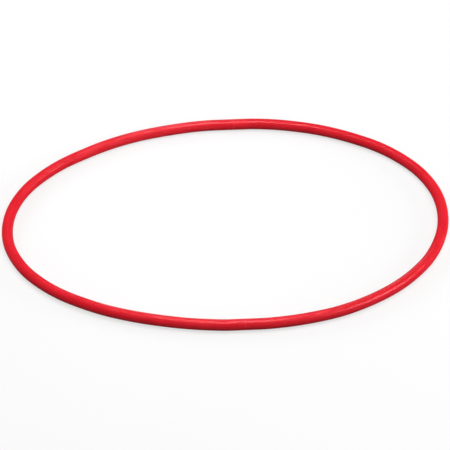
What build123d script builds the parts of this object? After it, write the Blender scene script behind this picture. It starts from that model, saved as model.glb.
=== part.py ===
from build123d import *
import math
import os

# Cockpit rim hoop for an inflatable, folding or packable kayak: the round tube
# ring that stands round the cockpit opening and that the elastic hem of a spray
# skirt hooks over. It comes apart into a front and a rear half for packing.
#
# Millimetres. +X runs from the bow end to the stern end of the hoop, +Z is up,
# and the hoop rests on the plane z = 0. The origin is the centre of the hoop on
# that plane. The paddler faces the bow (-X), so the left side is -Y and the
# right side is +Y.

os.makedirs("parts", exist_ok=True)

# ---- overall size ---------------------------------------------------------
HOOP_LENGTH = 780.0          # tip to tip, measured on the tube's centre line
HOOP_WIDTH = 430.0           # side to side, on the tube's centre line
SIDE_Y = HOOP_WIDTH / 2      # distance of each straight side from the middle
TUBE_OD = 20.0               # extruded polyethylene pipe, 20 x 2 mm
TUBE_WALL = 2.0
TUBE_ID = TUBE_OD - 2 * TUBE_WALL
Z_MID = TUBE_OD / 2          # height of the tube's centre line

# ---- outline: tangent arcs, more pointed at the bow -----------------------
# One side of the outline, from the bow tip: arcs that open out, a straight
# stretch, and arcs that close in again to the stern tip. Each arc is given as
# its share of the quarter turn, in degrees, and its radius. Where the radius
# is None it follows from the hoop's length and width.
STRAIGHT = 50.0              # straight stretch on each side, for the joint
STRAIGHT_START = -1.0        # x of its forward end
STRAIGHT_END = STRAIGHT_START + STRAIGHT
BOW_ARCS_GIVEN = (           # from the bow tip backwards
    (24.0, 122.0), (22.0, None), (19.0, 289.0), (14.0, 658.0), (11.0, None))
STERN_ARCS_GIVEN = (         # from the straight stretch on to the stern tip
    (11.0, 486.0), (15.0, 504.0), (20.0, None), (22.0, None), (22.0, 142.0))

# ---- joint between the halves ---------------------------------------------
SEAM_X = STRAIGHT_START + STRAIGHT / 2   # both halves end here, butted
SPIGOT_HALF = 1.5 * TUBE_ID  # length of spigot in each half
SPIGOT_FIXED_OD = 15.92      # fixed end, in the front tube
SPIGOT_FREE_OD = 15.84       # free end, slides into the rear tube
SPIGOT_NOSE = 2.5            # length of the tapered nose
SPIGOT_NOSE_OD = 12.6        # at the nose's end face
SPIGOT_TAIL_CHAMFER = 0.6
GROOVE_AT = (6.5, 16.5)      # O-ring groove centres, from the seam
GROOVE_WIDTH = 2.4
GROOVE_FLOOR_OD = 12.0
O_RING_SECTION = 1.9
O_RING_MEAN_DIAMETER = 14.04  # of the ring in its groove
END_BREAK = 0.25             # broken outer edge of each tube end
BORE_LEAD_IN = 0.6           # lead-in chamfer of the rear tube's bore

# ---- screws that hold the spigots in the front tube -----------------------
# Countersunk self-tapping screws, nominally 2.9 x 9.5 mm, driven upwards.
SCREW_FROM_SEAM = (7.0, 17.0)
SCREW_SHANK = 2.8
SCREW_LENGTH = 9.0
SCREW_TIP = 1.8              # length of the tapered tip
SCREW_TIP_END = 0.5          # diameter of its blunt end
SCREW_HEAD = 5.2
SCREW_HEAD_Z = 0.55          # height of the head's flat face, sunk in the tube
SCREW_HEAD_HIGH = 1.2
PILOT = 2.9
PILOT_TOP = 9.6              # from the underside of the tube
WALL_HOLE = 3.1
WALL_HOLE_TOP = 4.0          # inside the bore, clear of the lower wall
SINK = 5.5                   # widest diameter of the countersink
SINK_Z = SCREW_HEAD_Z - 0.05  # its cone starts just below the head
SINK_HIGH = (SINK - WALL_HOLE) / 2
CROSS_LENGTH = 2.9           # cross recess in the head
CROSS_WIDTH = 0.75
CROSS_DEPTH = 0.95

OVERCUT = 1.0                # how far cutters reach outside the tube


# ---- outline --------------------------------------------------------------
# Headings are directions of travel in the XY plane, measured from +X towards
# +Y. The outline is worked out on the +Y side, where it always turns right.
def close_outline(arcs, start_heading, dx, dy):
    """The arcs with their two missing radii found, so that they run (dx, dy).

    An arc that turns right from heading h0 to heading h1 moves its end by
    (sin h0 - sin h1, cos h1 - cos h0) times its radius.
    """
    heading = math.radians(start_heading)
    free_steps = []
    for turn, radius in arcs:
        next_heading = heading - math.radians(turn)
        step_x = math.sin(heading) - math.sin(next_heading)
        step_y = math.cos(next_heading) - math.cos(heading)
        heading = next_heading
        if radius is None:
            free_steps.append((step_x, step_y))
        else:
            dx -= step_x * radius
            dy -= step_y * radius
    # Two linear equations in the two free radii.
    (first_x, first_y), (second_x, second_y) = free_steps
    det = first_x * second_y - second_x * first_y
    found = [(dx * second_y - second_x * dy) / det,
             (first_x * dy - dx * first_y) / det]
    return [(turn, found.pop(0) if radius is None else radius)
            for turn, radius in arcs]


def place_arcs(arcs, x, y, start_heading):
    """Centre x and y, radius, start and end heading of each arc in turn."""
    placed = []
    heading = math.radians(start_heading)
    for turn, radius in arcs:
        centre_x = x + radius * math.sin(heading)
        centre_y = y - radius * math.cos(heading)
        next_heading = heading - math.radians(turn)
        placed.append((centre_x, centre_y, radius, heading, next_heading))
        x = centre_x - radius * math.sin(next_heading)
        y = centre_y + radius * math.cos(next_heading)
        heading = next_heading
    return placed


BOW_ARCS = place_arcs(
    close_outline(BOW_ARCS_GIVEN, 90.0, STRAIGHT_START + HOOP_LENGTH / 2, SIDE_Y),
    -HOOP_LENGTH / 2, 0.0, 90.0)
STERN_ARCS = place_arcs(
    close_outline(STERN_ARCS_GIVEN, 0.0, HOOP_LENGTH / 2 - STRAIGHT_END, -SIDE_Y),
    STRAIGHT_END, SIDE_Y, 0.0)


# ---- tube -----------------------------------------------------------------
def section(x, y, heading):
    """Ring-shaped cross section of the tube, square to the heading."""
    plane = Plane(origin=(x, y, Z_MID), x_dir=(0, 0, 1),
                  z_dir=(math.cos(heading), math.sin(heading), 0))
    return plane * Circle(TUBE_OD / 2) - plane * Circle(TUBE_ID / 2)


def arc_tube(centre_x, centre_y, radius, start, end, side=1):
    """Tube along one arc. side is +1 for the +Y side and -1 for its mirror."""
    x = centre_x - radius * math.sin(start)
    y = side * (centre_y + radius * math.cos(start))
    axis = Axis((centre_x, side * centre_y, 0), (0, 0, -side))
    return revolve(section(x, y, side * start), axis=axis,
                   revolution_arc=math.degrees(start - end))


def straight_tube(x0, x1, y):
    return extrude(section(x0, y, 0.0), amount=x1 - x0, dir=(1, 0, 0))


def half_tube(side_arcs, tip_arc, x0, x1):
    """One half of the hoop: both sides' arcs, one arc round the tip, and the
    half-stretches of straight tube, from x0 to x1, that lead to the seams."""
    pieces = [arc_tube(*arc, side) for arc in side_arcs for side in (1, -1)]
    pieces.append(arc_tube(*tip_arc))
    for side in (1, -1):
        pieces.append(straight_tube(x0, x1, side * SIDE_Y))
    body = pieces[0]
    for piece in pieces[1:]:
        body = body + piece
    return body


# ---- round solids along X, on the tube's centre line, and along Z ---------
FROM_BASE = (Align.CENTER, Align.CENTER, Align.MIN)


def x_rod(x0, x1, y, diameter):
    return Location((x0, y, Z_MID), (0, 90, 0)) * Cylinder(
        diameter / 2, x1 - x0, align=FROM_BASE)


def x_cone(x0, x1, y, diameter0, diameter1):
    return Location((x0, y, Z_MID), (0, 90, 0)) * Cone(
        diameter0 / 2, diameter1 / 2, x1 - x0, align=FROM_BASE)


def z_rod(x, y, z0, z1, diameter):
    return Location((x, y, z0)) * Cylinder(diameter / 2, z1 - z0, align=FROM_BASE)


def z_cone(x, y, z0, z1, diameter0, diameter1):
    return Location((x, y, z0)) * Cone(
        diameter0 / 2, diameter1 / 2, z1 - z0, align=FROM_BASE)


# ---- front and rear halves of the hoop ------------------------------------
def broken_edge(y, into):
    """Ring that takes the sharp outer edge off a tube end at the seam.

    into is the X direction from the seam into the tube, +1 or -1.
    """
    x0, x1 = sorted((SEAM_X, SEAM_X + into * END_BREAK))
    ring = x_rod(x0, x1, y, TUBE_OD + 2 * OVERCUT)
    end_diameter = TUBE_OD - 2 * END_BREAK
    if into > 0:
        core = x_cone(x0, x1, y, end_diameter, TUBE_OD)
    else:
        core = x_cone(x0, x1, y, TUBE_OD, end_diameter)
    return ring - core


def front_tube():
    centre_x, _, radius, _, end = BOW_ARCS[0]
    # Round the bow tip, from the left side's share to the right side's.
    tip_arc = (centre_x, 0.0, radius, math.pi - end, end)
    body = half_tube(BOW_ARCS[1:], tip_arc, STRAIGHT_START, SEAM_X)
    for y in (-SIDE_Y, SIDE_Y):
        body = body - broken_edge(y, -1)
        # Countersunk screw holes through the underside.
        for back in SCREW_FROM_SEAM:
            x = SEAM_X - back
            body = body - z_rod(x, y, -OVERCUT, WALL_HOLE_TOP, WALL_HOLE)
            body = body - z_rod(x, y, -OVERCUT, SINK_Z, SINK)
            body = body - z_cone(x, y, SINK_Z, SINK_Z + SINK_HIGH, SINK, WALL_HOLE)
    return body


def rear_tube():
    centre_x, _, radius, start, end = STERN_ARCS[-1]
    # Round the stern tip, on from the right side's share to the left's.
    tip_arc = (centre_x, 0.0, radius, start, start - 2 * (start - end))
    body = half_tube(STERN_ARCS[:-1], tip_arc, SEAM_X, STRAIGHT_END)
    for y in (-SIDE_Y, SIDE_Y):
        body = body - broken_edge(y, 1)
        body = body - x_cone(SEAM_X, SEAM_X + BORE_LEAD_IN, y,
                             TUBE_ID + 2 * BORE_LEAD_IN, TUBE_ID)
    return body


# ---- spigots --------------------------------------------------------------
def spigot(y):
    """Plug across the seam: fixed in the front tube, free in the rear one."""
    tail_x = SEAM_X - SPIGOT_HALF
    chamfer_x = tail_x + SPIGOT_TAIL_CHAMFER
    end_x = SEAM_X + SPIGOT_HALF
    nose_x = end_x - SPIGOT_NOSE
    fixed = x_rod(chamfer_x, SEAM_X, y, SPIGOT_FIXED_OD)
    tail = x_cone(tail_x, chamfer_x, y,
                  SPIGOT_FIXED_OD - 2 * SPIGOT_TAIL_CHAMFER, SPIGOT_FIXED_OD)
    free = x_rod(SEAM_X, nose_x, y, SPIGOT_FREE_OD)
    nose = x_cone(nose_x, end_x, y, SPIGOT_FREE_OD, SPIGOT_NOSE_OD)
    body = fixed + tail + free + nose
    for at in GROOVE_AT:
        x0 = SEAM_X + at - GROOVE_WIDTH / 2
        x1 = x0 + GROOVE_WIDTH
        body = body - (x_rod(x0, x1, y, TUBE_OD) - x_rod(x0, x1, y, GROOVE_FLOOR_OD))
    for back in SCREW_FROM_SEAM:
        body = body - z_rod(SEAM_X - back, y, 0.0, PILOT_TOP, PILOT)
    return body


# ---- O-rings --------------------------------------------------------------
def o_ring(y, at):
    return Location((SEAM_X + at, y, Z_MID), (0, 90, 0)) * Torus(
        O_RING_MEAN_DIAMETER / 2, O_RING_SECTION / 2)


# ---- screws ---------------------------------------------------------------
def screw(x, y):
    """Screw with its head at the underside of the tube, pointing up."""
    shank_z = SCREW_HEAD_Z + SCREW_HEAD_HIGH
    end_z = SCREW_HEAD_Z + SCREW_LENGTH
    tip_z = end_z - SCREW_TIP
    head = z_cone(x, y, SCREW_HEAD_Z, shank_z, SCREW_HEAD, SCREW_SHANK)
    shank = z_rod(x, y, shank_z, tip_z, SCREW_SHANK)
    tip = z_cone(x, y, tip_z, end_z, SCREW_SHANK, SCREW_TIP_END)
    body = head + shank + tip
    for size_x, size_y in ((CROSS_LENGTH, CROSS_WIDTH), (CROSS_WIDTH, CROSS_LENGTH)):
        # Centred on the head's face, so half of the box cuts into the head.
        body = body - Location((x, y, SCREW_HEAD_Z)) * Box(
            size_x, size_y, 2 * CROSS_DEPTH)
    return body


# ---- files ----------------------------------------------------------------
def write(name, shape):
    export_step(shape, os.path.join("parts", name + ".step"))


def one(shape):
    """The single solid of a finished shape."""
    solids = shape.solids()
    assert len(solids) == 1, len(solids)
    return solids[0]


write("front_tube", one(front_tube()))
write("rear_tube", one(rear_tube()))
for side, y in (("left", -SIDE_Y), ("right", SIDE_Y)):
    write(side + "_spigot", one(spigot(y)))
    # The inner ring is the one nearer the seam.
    for place, at in zip(("inner", "outer"), GROOVE_AT):
        write(f"{side}_{place}_o_ring", one(o_ring(y, at)))
    write(side + "_spigot_screws", Compound(children=[
        one(screw(SEAM_X - back, y)) for back in SCREW_FROM_SEAM]))
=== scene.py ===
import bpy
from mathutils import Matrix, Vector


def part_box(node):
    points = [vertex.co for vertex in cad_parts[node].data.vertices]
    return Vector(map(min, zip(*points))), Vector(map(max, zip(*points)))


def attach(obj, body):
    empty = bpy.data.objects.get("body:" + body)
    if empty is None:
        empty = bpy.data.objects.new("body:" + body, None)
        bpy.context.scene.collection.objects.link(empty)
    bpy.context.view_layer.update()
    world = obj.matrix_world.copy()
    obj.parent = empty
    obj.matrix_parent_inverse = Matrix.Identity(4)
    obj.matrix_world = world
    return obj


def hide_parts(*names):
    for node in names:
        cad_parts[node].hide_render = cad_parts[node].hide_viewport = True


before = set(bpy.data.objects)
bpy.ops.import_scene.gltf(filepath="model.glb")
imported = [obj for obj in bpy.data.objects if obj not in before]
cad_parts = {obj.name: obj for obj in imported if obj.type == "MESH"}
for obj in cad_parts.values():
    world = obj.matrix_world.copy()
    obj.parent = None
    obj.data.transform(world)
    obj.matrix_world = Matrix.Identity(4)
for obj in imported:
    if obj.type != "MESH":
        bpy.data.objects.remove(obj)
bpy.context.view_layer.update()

import math

import bmesh
import bpy
import numpy as np
from mathutils import Vector

# Looks for the cockpit rim hoop. Metres, in the frame's own axes: +X from the
# bow end to the stern end, +Z up, resting plane z = 0.

MM = 0.001


# ---------------------------------------------------------------------------
# Sizes, read off the frame
# ---------------------------------------------------------------------------
front_low, front_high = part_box("front_tube")
rear_low, rear_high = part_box("rear_tube")
spigot_low, spigot_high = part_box("left_spigot")
screws_low, screws_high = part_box("left_spigot_screws")

SEAM_X = round(front_high.x, 4)
TUBE_R = round(front_high.z / 2, 4)
BORE_R = TUBE_R - 2.0 * MM
Z_MID = TUBE_R
SIDE_Y = round(front_high.y, 4) - TUBE_R
TIP_X = round(rear_high.x, 4) - TUBE_R

# The outline's arcs, from the bow tip round to the stern tip on the +Y side:
# (share of the quarter turn in degrees, radius), with the radii left open that
# follow from the hoop's length and width.
STRAIGHT = 50.0 * MM
STRAIGHT_START = SEAM_X - STRAIGHT / 2
BOW_ARCS = ((24.0, 122.0), (22.0, None), (19.0, 289.0), (14.0, 658.0),
            (11.0, None))
STERN_ARCS = ((11.0, 486.0), (15.0, 504.0), (20.0, None), (22.0, None),
              (22.0, 142.0))


def close_outline(arcs, start_heading, dx, dy):
    """The arcs in metres and radians with their two open radii found."""
    heading = math.radians(start_heading)
    free = []
    for turn, radius in arcs:
        nxt = heading - math.radians(turn)
        step = (math.sin(heading) - math.sin(nxt),
                math.cos(nxt) - math.cos(heading))
        heading = nxt
        if radius is None:
            free.append(step)
        else:
            dx, dy = dx - step[0] * radius * MM, dy - step[1] * radius * MM
    (a, c), (b, d) = free
    det = a * d - b * c
    found = [(dx * d - b * dy) / det, (a * dy - dx * c) / det]
    return [(math.radians(turn), radius * MM if radius else found.pop(0))
            for turn, radius in arcs]


def side_path(step=2.0 * MM):
    """The +Y side of the centre line from the bow tip to the stern tip, as
    rows of x, y, heading, curvature, distance along."""
    rows = []
    x, y, h, s = -TIP_X, 0.0, math.pi / 2, 0.0

    def arc(x, y, h, s, turn, radius):
        n = max(6, int(math.ceil(turn * radius / step)))
        cx, cy = x + radius * math.sin(h), y - radius * math.cos(h)
        for k in range(n):
            hh = h - turn * k / n
            rows.append((cx - radius * math.sin(hh),
                         cy + radius * math.cos(hh), hh, 1 / radius,
                         s + turn * radius * k / n))
        hh = h - turn
        return (cx - radius * math.sin(hh), cy + radius * math.cos(hh), hh,
                s + turn * radius)

    for turn, radius in close_outline(
            BOW_ARCS, 90.0, STRAIGHT_START + TIP_X, SIDE_Y):
        x, y, h, s = arc(x, y, h, s, turn, radius)
    h = 0.0
    n = 2 * int(math.ceil(STRAIGHT / 2 / step))     # the seam is a sample
    for k in range(n):
        rows.append((x + STRAIGHT * k / n, y, 0.0, 0.0, s + STRAIGHT * k / n))
    x, s = x + STRAIGHT, s + STRAIGHT
    for turn, radius in close_outline(
            STERN_ARCS, 0.0, TIP_X - STRAIGHT_START - STRAIGHT, -SIDE_Y):
        x, y, h, s = arc(x, y, h, s, turn, radius)
    rows.append((x, y, h, 1 / radius, s))
    return np.array(rows)


def half_path(which):
    """Centre line of one half from its left joint (-Y) to its right one, as
    x, y, heading of travel, curvature, distance from the left joint."""
    side = side_path()
    seam = int(np.argmin(abs(side[:, 0] - SEAM_X) + abs(side[:, 1] - SIDE_Y)))
    if which == "front":
        right = side[:seam + 1].copy()              # bow tip to right seam
        left = right[::-1].copy()                   # left seam to bow tip
        left[:, 1] *= -1
        left[:, 2] = math.pi - left[:, 2]           # mirrored and reversed
        left[:, 4] = right[-1, 4] - left[:, 4]
        right[:, 4] += right[-1, 4] - right[0, 4]
        path = np.vstack([left[:-1], right])
    else:
        right = side[seam:].copy()                  # right seam to stern tip
        right[:, 4] -= right[0, 4]
        left = right[::-1].copy()                   # stern tip to left seam
        left[:, 1] *= -1
        left[:, 2] = -math.pi - left[:, 2]
        left[:, 4] = 2 * right[-1, 4] - left[:, 4]
        path = np.vstack([right, left[1:]])
        # turned round, so that both halves run from left to right
        path = path[::-1].copy()
        path[:, 2] += math.pi
        path[:, 4] = path[0, 4] - path[:, 4]
    return path


def smooth(values, s, width):
    """Values along s, smoothed over a width, ends held."""
    out = np.empty_like(values)
    for i, at in enumerate(s):
        w = np.exp(-0.5 * ((s - at) / width) ** 2)
        out[i] = (w * values).sum() / w.sum()
    return out


def wander(s, length, amplitudes, seed):
    """A small smooth unevenness along a half, nil near its two joints."""
    rng = np.random.default_rng(seed)
    out = np.zeros_like(s)
    for wave, amp in amplitudes:
        out += amp * np.sin(2 * math.pi * s / wave + rng.uniform(0, 6.283))
    edge = np.clip(np.minimum(s, length - s) / (60 * MM) - 0.75, 0, 1)
    return out * edge * edge * (3 - 2 * edge)


# How far the hand-bent centre line strays outwards from the true curve, in
# millimetres at even steps from the left joint to the right one. The spigots
# hold it true at the joints themselves.
STRAY = {
    "front": (-1.2, -1.0, -2.1, -0.8, 0.8, 0.3, 0.9, 0.8, 0.9, -1.0, -0.9,
              -1.2, -1.5, 1.2, 1.0, -0.5, 0.1, 0.5),
    "rear": (-0.4, -0.5, 0.1, 1.5, 1.3, 0.5, 0.1, -0.3, -0.1, 0.6, -0.3,
             -0.9, -1.5, -1.5, -1.8, -0.5, -0.9),
}


def stray(which, s, length):
    """The stray along a half, nil where the spigot holds the tube true."""
    table = np.array(STRAY[which]) * MM
    raw = np.interp(s, np.linspace(0, length, len(table)), table)
    out = smooth(raw, s, 17 * MM)
    edge = np.clip((np.minimum(s, length - s) - 25 * MM) / (45 * MM), 0, 1)
    out *= edge * edge * (3 - 2 * edge)
    return out if which == "front" else -out


# ---------------------------------------------------------------------------
# Mesh helpers
# ---------------------------------------------------------------------------
def new_object(name, verts, faces):
    mesh = bpy.data.meshes.new(name)
    mesh.from_pydata([tuple(map(float, v)) for v in verts], [],
                     [tuple(map(int, f)) for f in faces])
    mesh.update()
    obj = bpy.data.objects.new(name, mesh)
    bpy.context.scene.collection.objects.link(obj)
    return obj


def outward(obj):
    """Consistent normals that point out of the closed mesh."""
    bm = bmesh.new()
    bm.from_mesh(obj.data)
    bmesh.ops.recalc_face_normals(bm, faces=bm.faces[:])
    bm.to_mesh(obj.data)
    bm.free()
    obj.data.update()


def shade(obj, angle=38.0):
    """Smooth, with the edges sharper than the angle kept crisp."""
    mesh = obj.data
    mesh.polygons.foreach_set("use_smooth", [True] * len(mesh.polygons))
    mesh.set_sharp_from_angle(angle=math.radians(angle))
    mesh.update()


def closed_grid(name, rings, around):
    """Rings of points joined in a ring of rings: a closed skin with a hole."""
    n = len(rings)
    verts = np.vstack(rings)
    faces = []
    for i in range(n):
        j = (i + 1) % n
        for k in range(around):
            l = (k + 1) % around
            faces.append((i * around + k, i * around + l,
                          j * around + l, j * around + k))
    obj = new_object(name, verts, faces)
    outward(obj)
    return obj


def capped_lathe(name, profile, around, place):
    """Closed body of revolution. profile is rows of (along, radius) from one
    end of the axis to the other, and place turns (along, a, b) into a point,
    with a and b square to the axis. radius may be a function of the angle."""
    angles = np.linspace(0, 2 * math.pi, around, endpoint=False)
    verts, faces = [], []
    verts.append(place(profile[0][0], 0.0, 0.0))
    for along, radius in profile:
        r = radius(angles) if callable(radius) else np.full(around, radius)
        for a, rr in zip(angles, r):
            verts.append(place(along, rr * math.cos(a), rr * math.sin(a)))
    verts.append(place(profile[-1][0], 0.0, 0.0))
    rows = len(profile)
    for k in range(around):
        l = (k + 1) % around
        faces.append((0, 1 + l, 1 + k))
        for i in range(rows - 1):
            a, b = 1 + i * around, 1 + (i + 1) * around
            faces.append((a + k, a + l, b + l, b + k))
        last = 1 + (rows - 1) * around
        faces.append((last + k, last + l, len(verts) - 1))
    obj = new_object(name, verts, faces)
    outward(obj)
    return obj


def cut(obj, cutter):
    """Takes the cutter's bodies out of obj, and removes the cutter."""
    mod = obj.modifiers.new("cut", "BOOLEAN")
    mod.operation = "DIFFERENCE"
    mod.solver = "EXACT"
    mod.object = cutter
    bpy.context.view_layer.update()
    dg = bpy.context.evaluated_depsgraph_get()
    mesh = bpy.data.meshes.new_from_object(obj.evaluated_get(dg), depsgraph=dg)
    obj.modifiers.clear()
    old = obj.data
    obj.data = mesh
    bpy.data.meshes.remove(old)
    bpy.data.objects.remove(cutter, do_unlink=True)
    obj.data.name = obj.name
    return obj


def joined(name, parts):
    """One object holding several closed bodies."""
    verts, faces = [], []
    for part in parts:
        base = len(verts)
        verts += [tuple(v.co) for v in part.data.vertices]
        faces += [tuple(base + i for i in p.vertices)
                  for p in part.data.polygons]
        old = part.data
        bpy.data.objects.remove(part, do_unlink=True)
        bpy.data.meshes.remove(old)
    return new_object(name, verts, faces)


# ---------------------------------------------------------------------------
# Tube halves
# ---------------------------------------------------------------------------
AROUND = 80
ROUND = 0.25 * MM          # broken outer edge at a tube end
SCREW_X = [SEAM_X - 7.0 * MM, SEAM_X - 17.0 * MM]
COUNTERSINK_Z = 0.5 * MM


def tube_half(name, which, lead_in):
    path = half_path(which)
    s, length = path[:, 4], path[-1, 4]
    bend = smooth(path[:, 3], s, 12 * MM)
    side_off = wander(s, length, ((0.31, 0.16 * MM), (0.147, 0.09 * MM),
                                  (0.071, 0.035 * MM)), 11)
    side_off = side_off + stray(which, s, length)
    rise = wander(s, length, ((0.27, 0.05 * MM), (0.093, 0.03 * MM)), 12)
    swell = wander(s, length, ((0.119, 0.03 * MM), (0.053, 0.02 * MM)), 13)
    flat = 1 - np.clip(0.0021 * bend, 0, 0.022)    # the bends' slight oval
    angles = np.linspace(0, 2 * math.pi, AROUND, endpoint=False)
    ca, sa = np.cos(angles), np.sin(angles)

    def at(where, radius):
        """Ring of points round the centre line at one distance along it."""
        x = np.interp(where, s, path[:, 0])
        y = np.interp(where, s, path[:, 1])
        h = np.interp(where, s, path[:, 2])
        off = np.interp(where, s, side_off)
        up = np.interp(where, s, rise)
        grow = np.interp(where, s, swell) * radius / TUBE_R
        oval = np.interp(where, s, flat)
        nx, ny = -math.sin(h), math.cos(h)
        r = radius + grow
        side = off + r * ca * oval
        # the resting side stays on the floor and the top inside the box
        z = Z_MID + np.clip(up + r * sa, -TUBE_R, TUBE_R)
        return np.c_[x + nx * side, y + ny * side, z]

    # From the left joint's bore, over its end face and rounded edge, along the
    # skin to the right joint, and back through the bore.
    corner = [(ROUND * (1 - math.cos(a)), TUBE_R - ROUND * (1 - math.sin(a)))
              for a in np.linspace(0, math.pi / 2, 5)]
    face = [(lead_in, BORE_R), (0.0, BORE_R + lead_in),
            (0.0, (BORE_R + lead_in + TUBE_R) / 2)]
    start = face + corner + [(1.2 * MM, TUBE_R)]
    mids = [v for v in s if 2.2 * MM < v < length - 2.2 * MM]
    rings = [at(where, radius) for where, radius in start]
    rings += [at(where, TUBE_R) for where in mids]
    rings += [at(length - where, radius) for where, radius in start[::-1]]
    # the bore, with fewer rings than the skin
    for where in mids[::-1][::2]:
        if lead_in + 1.0 * MM < where < length - lead_in - 1.0 * MM:
            rings.append(at(where, BORE_R))
    obj = closed_grid(name, rings, AROUND)
    return obj, path


def straightened(obj, path):
    """Gives each point its place on the tube as if it were pulled straight:
    distance along, and the two coordinates across. Textures follow it."""
    mesh = obj.data
    co = np.empty(len(mesh.vertices) * 3, np.float32)
    mesh.vertices.foreach_get("co", co)
    co = co.reshape(-1, 3).astype(float)
    fine_s = np.linspace(0, path[-1, 4], 4000)
    fx = np.interp(fine_s, path[:, 4], path[:, 0])
    fy = np.interp(fine_s, path[:, 4], path[:, 1])
    fh = np.interp(fine_s, path[:, 4], path[:, 2])
    out = np.empty((len(co), 3), np.float32)
    for lo in range(0, len(co), 2000):
        c = co[lo:lo + 2000]
        d = (c[:, None, 0] - fx[None]) ** 2 + (c[:, None, 1] - fy[None]) ** 2
        i = d.argmin(1)
        out[lo:lo + 2000, 0] = fine_s[i]
        out[lo:lo + 2000, 1] = (-(c[:, 0] - fx[i]) * np.sin(fh[i])
                                + (c[:, 1] - fy[i]) * np.cos(fh[i]))
        out[lo:lo + 2000, 2] = c[:, 2] - Z_MID
    layer = mesh.attributes.new("straight", "FLOAT_VECTOR", "POINT")
    layer.data.foreach_set("vector", out.ravel())
    # how near a point is to a joint, for the wear there
    length = path[-1, 4]
    near = np.exp(-np.minimum(out[:, 0], length - out[:, 0]) / (0.9 * MM))
    wear = mesh.attributes.new("near_joint", "FLOAT", "POINT")
    wear.data.foreach_set("value", near.astype(np.float32))


front, front_path = tube_half("front_tube_skin", "front", 0.2 * MM)
rear, rear_path = tube_half("rear_tube_skin", "rear", 0.6 * MM)

holes = []
for y in (-SIDE_Y, SIDE_Y):
    for x in SCREW_X:
        profile = [(-1.5 * MM, 2.75 * MM), (COUNTERSINK_Z, 2.75 * MM),
                   (COUNTERSINK_Z + 1.2 * MM, 1.55 * MM), (4.0 * MM, 1.55 * MM)]
        holes.append(capped_lathe(
            "hole", profile, 48,
            lambda along, a, b, x=x, y=y: (x + a, y + b, along)))
cut(front, joined("holes", holes))
straightened(front, front_path)
straightened(rear, rear_path)
shade(front)
shade(rear)


# ---------------------------------------------------------------------------
# Spigots, O-rings and screws
# ---------------------------------------------------------------------------
def rounded(profile, radius, steps=4):
    """A lathe profile with each corner of the outline rounded off."""
    pts = [np.array(p, float) for p in profile]
    out = [tuple(pts[0])]
    for before, here, after in zip(pts, pts[1:], pts[2:]):
        u, v = before - here, after - here
        lu, lv = np.linalg.norm(u), np.linalg.norm(v)
        turn = math.acos(np.clip((u @ v) / lu / lv, -1, 1))
        if math.pi - turn < math.radians(12):
            out.append(tuple(here))
            continue
        r = min(radius, 0.45 * min(lu, lv) * math.tan(turn / 2))
        t = r / math.tan(turn / 2)
        p0, p1 = here + u / lu * t, here + v / lv * t
        mid = (u / lu + v / lv)
        centre = here + mid / np.linalg.norm(mid) * r / math.sin(turn / 2)
        a0 = math.atan2(*(p0 - centre)[::-1])
        a1 = math.atan2(*(p1 - centre)[::-1])
        da = (a1 - a0 + math.pi) % (2 * math.pi) - math.pi
        for k in range(steps + 1):
            a = a0 + da * k / steps
            out.append(tuple(centre + r * np.array([math.cos(a),
                                                    math.sin(a)])))
    out.append(tuple(pts[-1]))
    return out


def subdivided(profile, longest):
    """The profile with its long stretches divided."""
    out = [profile[0]]
    for (x0, r0), (x1, r1) in zip(profile, profile[1:]):
        n = max(1, int(math.ceil(math.hypot(x1 - x0, r1 - r0) / longest)))
        for k in range(1, n + 1):
            out.append((x0 + (x1 - x0) * k / n, r0 + (r1 - r0) * k / n))
    return out


GROOVES = (SEAM_X + 6.5 * MM, SEAM_X + 16.5 * MM)


def spigot_piece(name, y):
    x0, x1 = round(spigot_low.x, 4), round(spigot_high.x, 4)
    fixed, free = 7.96 * MM, 7.92 * MM
    outline = [(x0, 0.3 * MM), (x0, fixed - 0.6 * MM),
               (x0 + 0.6 * MM, fixed), (SEAM_X - 0.02 * MM, fixed),
               (SEAM_X + 0.02 * MM, free)]
    for g in GROOVES:
        outline += [(g - 1.2 * MM, free), (g - 1.2 * MM, 6.0 * MM),
                    (g + 1.2 * MM, 6.0 * MM), (g + 1.2 * MM, free)]
    outline += [(x1 - 2.5 * MM, free), (x1, 6.3 * MM), (x1, 0.3 * MM)]
    profile = subdivided(rounded(outline, 0.18 * MM), 2.5 * MM)
    obj = capped_lathe(name, profile, 72,
                       lambda along, a, b: (along, y + a, Z_MID + b))
    pilots = [capped_lathe(
        "pilot", [(-1.0 * MM, 1.45 * MM), (9.6 * MM, 1.45 * MM)], 32,
        lambda along, a, b, x=x: (x + a, y + b, along)) for x in SCREW_X]
    cut(obj, joined("pilots", pilots))
    shade(obj, 30)
    return obj


def o_ring_piece(name, x, y):
    """Rubber ring with the faint flash line that its mould leaves."""
    big, small = 7.02 * MM, 0.945 * MM
    around, across = 96, 40
    rings = []
    phis = np.linspace(0, 2 * math.pi, across, endpoint=False)
    for p in phis:
        off = abs((p + math.pi) % (2 * math.pi) - math.pi)
        r = small + 0.012 * MM * math.exp(-(off / 0.09) ** 2)
        t = np.linspace(0, 2 * math.pi, around, endpoint=False)
        rad = big + r * math.cos(p)
        rings.append(np.c_[np.full(around, x + r * math.sin(p)),
                           y + rad * np.cos(t), Z_MID + rad * np.sin(t)])
    obj = closed_grid(name, rings, around)
    shade(obj, 60)
    return obj


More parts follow.
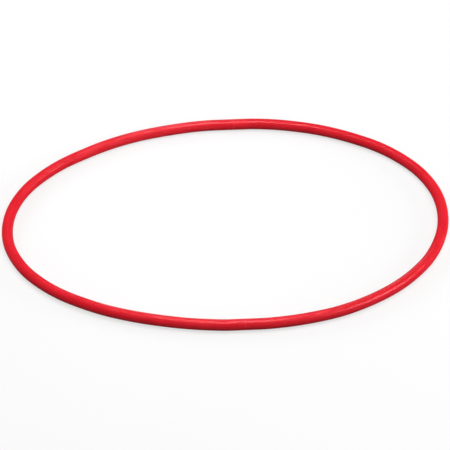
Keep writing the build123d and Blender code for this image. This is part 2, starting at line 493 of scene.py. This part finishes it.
def cross_cutter(x, y, z0):
    """Tapered cross that makes a screwdriver recess, upwards from z0."""
    def plus(length, width, z):
        a, b = length / 2, width / 2
        pts = [(a, -b), (a, b), (b, b), (b, a), (-b, a), (-b, b), (-a, b),
               (-a, -b), (-b, -b), (-b, -a), (b, -a), (b, -b)]
        c, s = math.cos(0.4), math.sin(0.4)
        return [(x + c * u - s * v, y + s * u + c * v, z) for u, v in pts]
    levels = [plus(3.1 * MM, 0.82 * MM, z0 - 0.1 * MM),
              plus(2.9 * MM, 0.76 * MM, z0),
              plus(1.9 * MM, 0.66 * MM, z0 + 0.6 * MM),
              plus(0.9 * MM, 0.52 * MM, z0 + 0.95 * MM)]
    verts = [p for level in levels for p in level]
    faces = [tuple(range(12))]
    for i in range(len(levels) - 1):
        for k in range(12):
            l = (k + 1) % 12
            faces.append((i * 12 + k, i * 12 + l,
                          (i + 1) * 12 + l, (i + 1) * 12 + k))
    faces.append(tuple(range(len(verts) - 12, len(verts)))[::-1])
    obj = new_object("cross", verts, faces)
    outward(obj)
    return obj


def screw_body(x, y):
    """Countersunk self-tapping screw, head down, with a rolled thread."""
    z0 = round(screws_low.z, 5)
    head_high, length, tip = 1.2 * MM, 9.0 * MM, 1.8 * MM
    head_r, crest, core, pitch = 2.6 * MM, 1.4 * MM, 1.03 * MM, 1.1 * MM
    around = 48
    profile = [(z0, 0.3 * MM), (z0, 1.0 * MM), (z0, 1.9 * MM),
               (z0, head_r - 0.12 * MM), (z0 + 0.03 * MM, head_r - 0.035 * MM),
               (z0 + 0.09 * MM, head_r), (z0 + 0.17 * MM, head_r - 0.04 * MM)]
    for k in range(1, 7):
        t = k / 6
        profile.append((z0 + 0.17 * MM + t * (head_high - 0.17 * MM),
                        head_r - 0.04 * MM
                        + t * (core + 0.05 * MM - head_r + 0.04 * MM)))
    start, end = z0 + head_high + 0.12 * MM, z0 + length
    rows = 96
    for k in range(rows + 1):
        z = start + (end - start) * k / rows
        run_in = min(1.0, (z - start) / (0.9 * MM))
        taper = min(1.0, max(0.0, (end - z) / tip))
        low = 0.12 * MM + (core - 0.12 * MM) * taper
        high = low + (crest - core) * run_in * min(1.0, 0.25 + taper)

        def radius(angles, z=z, low=low, high=high):
            f = ((z - start) / pitch - angles / (2 * math.pi)) % 1.0
            ridge = np.clip(1 - abs(2 * f - 1) * 2.3, 0, 1)
            return low + (high - low) * ridge
        profile.append((z, radius))
    obj = capped_lathe("screw", profile, around,
                       lambda along, a, b: (x + a, y + b, along))
    cut(obj, cross_cutter(x, y, z0))
    return obj


for side, y in (("left", -SIDE_Y), ("right", SIDE_Y)):
    piece = spigot_piece(side + "_spigot_turned", y)
    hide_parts(side + "_spigot")
    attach(piece, "front_half")
    for which, x in (("inner", GROOVES[0]), ("outer", GROOVES[1])):
        piece = o_ring_piece(side + "_" + which + "_ring_moulded", x, y)
        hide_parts(side + "_" + which + "_o_ring")
        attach(piece, "front_half")
    piece = joined(side + "_screws_threaded",
                   [screw_body(x, y) for x in SCREW_X])
    shade(piece, 40)
    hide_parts(side + "_spigot_screws")
    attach(piece, "front_half")

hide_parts("front_tube")
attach(front, "front_half")
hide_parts("rear_tube")
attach(rear, "rear_half")


# ---------------------------------------------------------------------------
# Materials
# ---------------------------------------------------------------------------
def srgb(r, g, b):
    def lin(c):
        c /= 255
        return c / 12.92 if c <= 0.04045 else ((c + 0.055) / 1.055) ** 2.4
    return (lin(r), lin(g), lin(b), 1.0)


class Nodes:
    """A material's node tree, with short calls to add and join nodes."""

    def __init__(self, name):
        self.mat = bpy.data.materials.new(name)
        self.mat.use_nodes = True
        self.tree = self.mat.node_tree
        self.tree.nodes.clear()
        self.out = self.tree.nodes.new("ShaderNodeOutputMaterial")

    def add(self, kind, **props):
        node = self.tree.nodes.new(kind)
        inputs = props.pop("inputs", {})
        for k, v in props.items():
            setattr(node, k, v)
        for k, v in inputs.items():
            self.put(node, k, v)
        return node

    def put(self, node, key, value):
        socket = node.inputs[key]
        if isinstance(value, bpy.types.NodeSocket):
            self.tree.links.new(value, socket)
        else:
            socket.default_value = value

    def math(self, op, a, b=0.0, c=None, clamp=False):
        node = self.add("ShaderNodeMath", operation=op, use_clamp=clamp)
        self.put(node, 0, a)
        self.put(node, 1, b)
        if c is not None:
            self.put(node, 2, c)
        return node.outputs[0]

    def scaled(self, vector, x, y, z):
        node = self.add("ShaderNodeVectorMath", operation="MULTIPLY")
        self.put(node, 0, vector)
        self.put(node, 1, (x, y, z))
        return node.outputs[0]

    def noise(self, vector, scale, detail=2.0, rough=0.5):
        node = self.add("ShaderNodeTexNoise", inputs={
            "Vector": vector, "Scale": scale, "Detail": detail,
            "Roughness": rough})
        return node.outputs[0]

    def ramp(self, value, low, high, to_low=0.0, to_high=1.0):
        node = self.add("ShaderNodeMapRange", interpolation_type="SMOOTHSTEP",
                        inputs={"Value": value, "From Min": low,
                                "From Max": high, "To Min": to_low,
                                "To Max": to_high})
        return node.outputs[0]

    def mix(self, factor, a, b):
        node = self.add("ShaderNodeMix", data_type="RGBA")
        self.put(node, 0, factor)
        self.put(node, 6, a)
        self.put(node, 7, b)
        return node.outputs[2]

    def bump(self, height, strength, distance, normal=None):
        node = self.add("ShaderNodeBump", inputs={
            "Height": height, "Strength": strength, "Distance": distance})
        if normal is not None:
            self.put(node, "Normal", normal)
        return node.outputs[0]

    def finish(self, shader):
        self.tree.links.new(shader, self.out.inputs["Surface"])
        return self.mat


def red_tube_material():
    n = Nodes("red_polyethylene")
    p = n.add("ShaderNodeAttribute", attribute_name="straight",
              attribute_type="GEOMETRY").outputs["Vector"]
    near = n.add("ShaderNodeAttribute", attribute_name="near_joint",
                 attribute_type="GEOMETRY").outputs["Fac"]
    # slow cloudiness of the pigment, streaks along the extrusion, fine grain
    cloud = n.noise(n.scaled(p, 0.45, 1, 1), 55.0, 3.0, 0.55)
    streak = n.noise(n.scaled(p, 0.012, 1, 1), 900.0, 3.0, 0.6)
    grain = n.noise(p, 1500.0, 3.0, 0.65)
    # rubbed patches and short scuffs that run along the tube
    patch = n.noise(n.scaled(p, 0.5, 1, 1), 38.0, 2.0, 0.5)
    scuff = n.noise(n.scaled(p, 0.09, 1, 1), 1100.0, 2.0, 0.55)
    scuff = n.math("MULTIPLY", n.ramp(scuff, 0.56, 0.76),
                   n.ramp(patch, 0.48, 0.68))
    # hair scratches askew across the tube
    askew = n.add("ShaderNodeVectorRotate", rotation_type="EULER_XYZ")
    n.put(askew, "Vector", p)
    askew.inputs["Rotation"].default_value = (0.3, 0.55, 0.9)
    hair = n.noise(n.scaled(askew.outputs[0], 0.03, 1, 1), 1300.0, 1.0, 0.5)
    hair = n.math("MULTIPLY", n.ramp(hair, 0.70, 0.735),
                  n.ramp(n.noise(p, 60.0, 1.0), 0.52, 0.62))

    deep = srgb(230, 31, 45)
    base = srgb(238, 35, 50)
    warm = srgb(242, 43, 54)
    colour = n.mix(n.ramp(cloud, 0.32, 0.55), deep, base)
    colour = n.mix(n.ramp(cloud, 0.55, 0.78), colour, warm)
    dark = n.mix(n.ramp(streak, 0.3, 0.7), srgb(228, 28, 42), srgb(244, 42, 58))
    colour = n.mix(0.25, colour, dark)
    speck = n.mix(n.ramp(grain, 0.3, 0.7), srgb(226, 28, 42), srgb(244, 44, 58))
    colour = n.mix(0.22, colour, speck)
    # scuffed polyethylene goes paler and duller
    pale = srgb(243, 84, 92)
    mark = n.math("MAXIMUM", n.math("MULTIPLY", scuff, 0.30),
                  n.math("MULTIPLY", hair, 0.22))
    edge = n.math("MULTIPLY", near,
                  n.ramp(n.noise(p, 420.0, 2.0), 0.35, 0.7, 0.05, 0.40))
    mark = n.math("MAXIMUM", mark, edge, clamp=True)
    colour = n.mix(mark, colour, pale)

    rough = n.ramp(cloud, 0.3, 0.75, 0.26, 0.34)
    rough = n.math("ADD", rough, n.ramp(grain, 0.3, 0.7, -0.03, 0.03))
    rough = n.math("ADD", rough, n.ramp(streak, 0.3, 0.7, -0.02, 0.02))
    rough = n.math("ADD", rough, n.math("MULTIPLY", mark, 0.35), clamp=True)

    normal = n.bump(streak, 0.22, 0.00006)
    normal = n.bump(grain, 0.30, 0.00002, normal)
    normal = n.bump(n.math("ADD", hair, n.math("MULTIPLY", scuff, 0.4)),
                    -0.25, 0.00003, normal)
    shader = n.add("ShaderNodeBsdfPrincipled", inputs={
        "Base Color": colour, "Roughness": rough, "IOR": 1.5,
        "Specular IOR Level": 0.18, "Subsurface Weight": 0.10,
        "Subsurface Scale": 0.0012, "Subsurface Radius": (1.0, 0.18, 0.14),
        "Normal": normal})
    return n.finish(shader.outputs[0])


def nylon_material():
    n = Nodes("natural_nylon")
    p = n.add("ShaderNodeTexCoord").outputs["Object"]
    # the lathe's feed marks run round the axis, which lies along X
    sep = n.add("ShaderNodeSeparateXYZ")
    n.put(sep, 0, p)
    x = sep.outputs[0]
    wobble = n.noise(p, 300.0, 2.0)
    phase = n.math("ADD", n.math("MULTIPLY", x, 2 * math.pi / 0.00032),
                   n.math("MULTIPLY", wobble, 2.2))
    feed = n.math("SINE", phase)
    cloud = n.noise(p, 90.0, 3.0, 0.6)
    grain = n.noise(p, 2600.0, 2.0, 0.6)
    colour = n.mix(n.ramp(cloud, 0.3, 0.7), srgb(229, 225, 209),
                   srgb(238, 235, 224))
    colour = n.mix(n.ramp(grain, 0.35, 0.65, 0.0, 0.12), colour,
                   srgb(214, 208, 190))
    # hair-fine rub marks where the rear tube slides on and off, and a greyer
    # tone in each groove that fades out within 3 mm beside it
    rubbed = n.math("MULTIPLY", n.ramp(x, SEAM_X, SEAM_X + 0.004),
                    n.ramp(n.noise(n.scaled(p, 0.02, 1, 1), 2600.0, 2.0),
                           0.60, 0.72, 0.0, 0.16))
    colour = n.mix(rubbed, colour, srgb(168, 160, 150))
    for g in GROOVES:
        off = n.math("ABSOLUTE", n.math("SUBTRACT", x, g))
        colour = n.mix(n.ramp(off, 0.0012, 0.0030, 0.22, 0.0), colour,
                       srgb(150, 146, 140))
    rough = n.math("ADD", n.ramp(cloud, 0.3, 0.7, 0.40, 0.52),
                   n.ramp(feed, -1.0, 1.0, -0.05, 0.05))
    normal = n.bump(feed, 0.35, 0.000012)
    normal = n.bump(grain, 0.2, 0.000008, normal)
    shader = n.add("ShaderNodeBsdfPrincipled", inputs={
        "Base Color": colour, "Roughness": rough, "IOR": 1.53,
        "Subsurface Weight": 0.25, "Subsurface Scale": 0.0016,
        "Subsurface Radius": (1.0, 0.8, 0.55), "Normal": normal})
    return n.finish(shader.outputs[0])


def rubber_material():
    n = Nodes("o_ring_rubber")
    p = n.add("ShaderNodeTexCoord").outputs["Object"]
    cloud = n.noise(p, 400.0, 3.0, 0.6)
    grain = n.noise(p, 5200.0, 2.0, 0.6)
    colour = n.mix(n.ramp(cloud, 0.3, 0.7), srgb(24, 24, 26), srgb(42, 42, 44))
    bloom = n.ramp(n.noise(p, 1400.0, 3.0), 0.55, 0.75, 0.0, 0.3)
    colour = n.mix(bloom, colour, srgb(84, 82, 80))
    rough = n.ramp(cloud, 0.3, 0.7, 0.48, 0.66)
    normal = n.bump(grain, 0.3, 0.000012)
    shader = n.add("ShaderNodeBsdfPrincipled", inputs={
        "Base Color": colour, "Roughness": rough, "IOR": 1.5,
        "Normal": normal})
    return n.finish(shader.outputs[0])


def steel_material():
    n = Nodes("stainless_steel")
    p = n.add("ShaderNodeTexCoord").outputs["Object"]
    brushed = n.noise(n.scaled(p, 1, 0.08, 1), 5200.0, 3.0, 0.6)
    cloud = n.noise(p, 800.0, 3.0, 0.6)
    colour = n.mix(n.ramp(cloud, 0.3, 0.75), srgb(176, 177, 180),
                   srgb(206, 206, 204))
    stain = n.ramp(n.noise(p, 1500.0, 2.0), 0.62, 0.8, 0.0, 0.4)
    colour = n.mix(stain, colour, srgb(140, 128, 112))
    rough = n.math("ADD", n.ramp(cloud, 0.3, 0.7, 0.24, 0.36),
                   n.ramp(brushed, 0.3, 0.7, -0.05, 0.05))
    normal = n.bump(brushed, 0.2, 0.000008)
    shader = n.add("ShaderNodeBsdfPrincipled", inputs={
        "Base Color": colour, "Roughness": rough, "Metallic": 1.0,
        "Normal": normal})
    return n.finish(shader.outputs[0])


def camera_below(n):
    """A node value of 1 while the camera is under the floor, else 0."""
    value = n.add("ShaderNodeValue")
    driver = value.outputs[0].driver_add("default_value").driver
    driver.type = "SUM"
    var = driver.variables.new()
    var.type = "TRANSFORMS"
    var.targets[0].id = camera
    var.targets[0].transform_type = "LOC_Z"
    var.targets[0].transform_space = "WORLD_SPACE"
    return n.math("LESS_THAN", value.outputs[0], 0.0)


def floor_material():
    """Pale matt floor, lit from inside like a light table, which keeps the
    shadows faint. It throws back less light than it shows, and it isn't there
    for a camera under it."""
    n = Nodes("pale_floor")
    p = n.add("ShaderNodeTexCoord").outputs["Object"]
    cloud = n.noise(p, 1.7, 3.0, 0.5)
    shown = n.mix(n.ramp(cloud, 0.3, 0.7), (0.955, 0.955, 0.955, 1),
                  (0.965, 0.965, 0.965, 1))
    seen = n.add("ShaderNodeLightPath").outputs["Is Camera Ray"]
    colour = n.mix(seen, (0.27, 0.27, 0.27, 1), shown)
    diffuse = n.add("ShaderNodeBsdfDiffuse", inputs={"Color": colour})
    glow = n.add("ShaderNodeEmission", inputs={
        "Color": (1.0, 1.0, 1.0, 1.0), "Strength": 1.03})
    away = n.add("ShaderNodeVectorMath", operation="LENGTH")
    n.put(away, 0, p)
    lit = n.add("ShaderNodeMixShader")
    n.put(lit, 0, n.math("MULTIPLY", seen,
                         n.ramp(away.outputs["Value"], 0.6, 1.8, 0.65, 1.0)))
    n.put(lit, 1, diffuse.outputs[0])
    n.put(lit, 2, glow.outputs[0])
    clear = n.add("ShaderNodeBsdfTransparent")
    mix = n.add("ShaderNodeMixShader")
    n.put(mix, 0, camera_below(n))
    n.put(mix, 1, lit.outputs[0])
    n.put(mix, 2, clear.outputs[0])
    return n.finish(mix.outputs[0])


looks = {"front_tube_skin": red_tube_material()}
looks["rear_tube_skin"] = looks["front_tube_skin"]
nylon, rubber, steel = nylon_material(), rubber_material(), steel_material()
for side in ("left", "right"):
    looks[side + "_spigot_turned"] = nylon
    looks[side + "_inner_ring_moulded"] = rubber
    looks[side + "_outer_ring_moulded"] = rubber
    looks[side + "_screws_threaded"] = steel
for name, material in looks.items():
    obj = bpy.data.objects[name]
    obj.data.materials.clear()
    obj.data.materials.append(material)


# ---------------------------------------------------------------------------
# Floor, light and camera
# ---------------------------------------------------------------------------
# The photograph's viewpoint: nearly square to the hoop's long side, 56 degrees
# above the floor, through a long lens.
AZIMUTH, ELEVATION = math.radians(-2.596), math.radians(56.458)
AIM = Vector((-0.001484, -0.008640, Z_MID))
back = Vector((math.sin(AZIMUTH) * math.cos(ELEVATION),
               -math.cos(AZIMUTH) * math.cos(ELEVATION),
               math.sin(ELEVATION)))
camera_data = bpy.data.cameras.new("camera")
camera_data.sensor_width = 36.0
camera_data.lens = 132.484
camera_data.clip_start, camera_data.clip_end = 0.05, 60.0
camera = bpy.data.objects.new("camera", camera_data)
bpy.context.scene.collection.objects.link(camera)
camera.location = AIM + back * 2.96
camera.rotation_mode = "QUATERNION"
camera.rotation_quaternion = (-back).to_track_quat("-Z", "Y")
bpy.context.scene.camera = camera

bpy.ops.mesh.primitive_plane_add(size=24.0, location=(0, 0, 0))
floor = bpy.context.object
floor.name = "studio_floor"
floor.data.materials.append(floor_material())

# The surroundings look pale wherever the camera sees them, and give a little
# even light; with the camera under the floor they light the underside.
world = bpy.data.worlds.new("studio_world")
bpy.context.scene.world = world
world.use_nodes = True
surround = Nodes.__new__(Nodes)
surround.tree = world.node_tree
background = world.node_tree.nodes["Background"]
background.inputs["Color"].default_value = (1.0, 1.0, 1.0, 1.0)
AMBIENT = 0.06
seen = surround.add("ShaderNodeLightPath").outputs["Is Camera Ray"]
# from under the floor, one side is brighter than the other, as by a window
towards = surround.add("ShaderNodeVectorMath", operation="DOT_PRODUCT")
surround.put(towards, 0,
             surround.add("ShaderNodeTexCoord").outputs["Generated"])
surround.put(towards, 1, (0.45, -0.62, -0.64))
side_light = surround.ramp(towards.outputs["Value"], -0.3, 1.0, 0.06, 0.85)
under = surround.math("MULTIPLY", camera_below(surround), side_light)
level = surround.math("MAXIMUM", surround.math("MULTIPLY", seen, 0.99),
                      surround.math("ADD", under, AMBIENT))
world.node_tree.links.new(level, background.inputs["Strength"])


def softbox(name, azimuth, elevation, distance, size, power,
            fills=True, glints=True, width=None, aim=(0, 0, 0), grid=180):
    """Soft light that points at aim. Azimuth 0 is beyond the +Y side and 90 is
    beyond the stern. A lamp behind a polariser fills without glints, or the
    reverse. A grid of under 180 degrees narrows its beam."""
    data = bpy.data.lights.new(name, "AREA")
    data.shape = "RECTANGLE"
    data.size = width or size
    data.size_y = size
    data.energy = power
    data.spread = math.radians(grid)
    obj = bpy.data.objects.new(name, data)
    bpy.context.scene.collection.objects.link(obj)
    a, e = math.radians(azimuth), math.radians(elevation)
    d = Vector((math.sin(a) * math.cos(e), math.cos(a) * math.cos(e),
                math.sin(e)))
    obj.location = Vector(aim) + d * distance
    obj.rotation_mode = "QUATERNION"
    obj.rotation_quaternion = d.to_track_quat("Z", "Y")
    obj.visible_diffuse = fills
    obj.visible_glossy = glints
    return obj


softbox("overhead", 0, 86, 3.0, 1.3, 36.0, glints=False)
softbox("far_glint", 0, 81, 1.5, 0.6, 0.22, fills=False, width=0.2,
        aim=(-0.02, 0.20, 0.0), grid=28)
softbox("near_glint", 0, 64, 1.5, 0.6, 0.58, fills=False, width=0.2,
        aim=(0.03, -0.20, 0.0), grid=36)
softbox("right_low", 90, 12, 3.0, 1.3, 50.0, glints=False)
softbox("right_high", 88, 65, 3.0, 1.3, 20.0, glints=False)
softbox("back_left", 315, 28, 3.0, 1.3, 31.0, glints=False)
softbox("left_low", 270, 14, 3.0, 1.3, 13.0, glints=False)
softbox("front_right", 135, 25, 3.0, 1.3, 6.0, glints=False)
softbox("far_left_fill", 150, 38, 1.3, 0.4, 0.085, glints=False,
        aim=(-0.21, 0.18, 0.0), grid=26)
softbox("key", 118.7, 51.8, 1.3, 0.50, 1.95, fills=False,
        aim=(0.273, -0.162, 0.012), grid=60)
softbox("back_glint", 354, 22, 3.0, 1.3, 11.5, fills=False, width=0.5)

scene = bpy.context.scene
scene.view_settings.view_transform = "Standard"
scene.view_settings.look = "None"
scene.view_settings.exposure = 0.0
scene.view_settings.gamma = 1.0
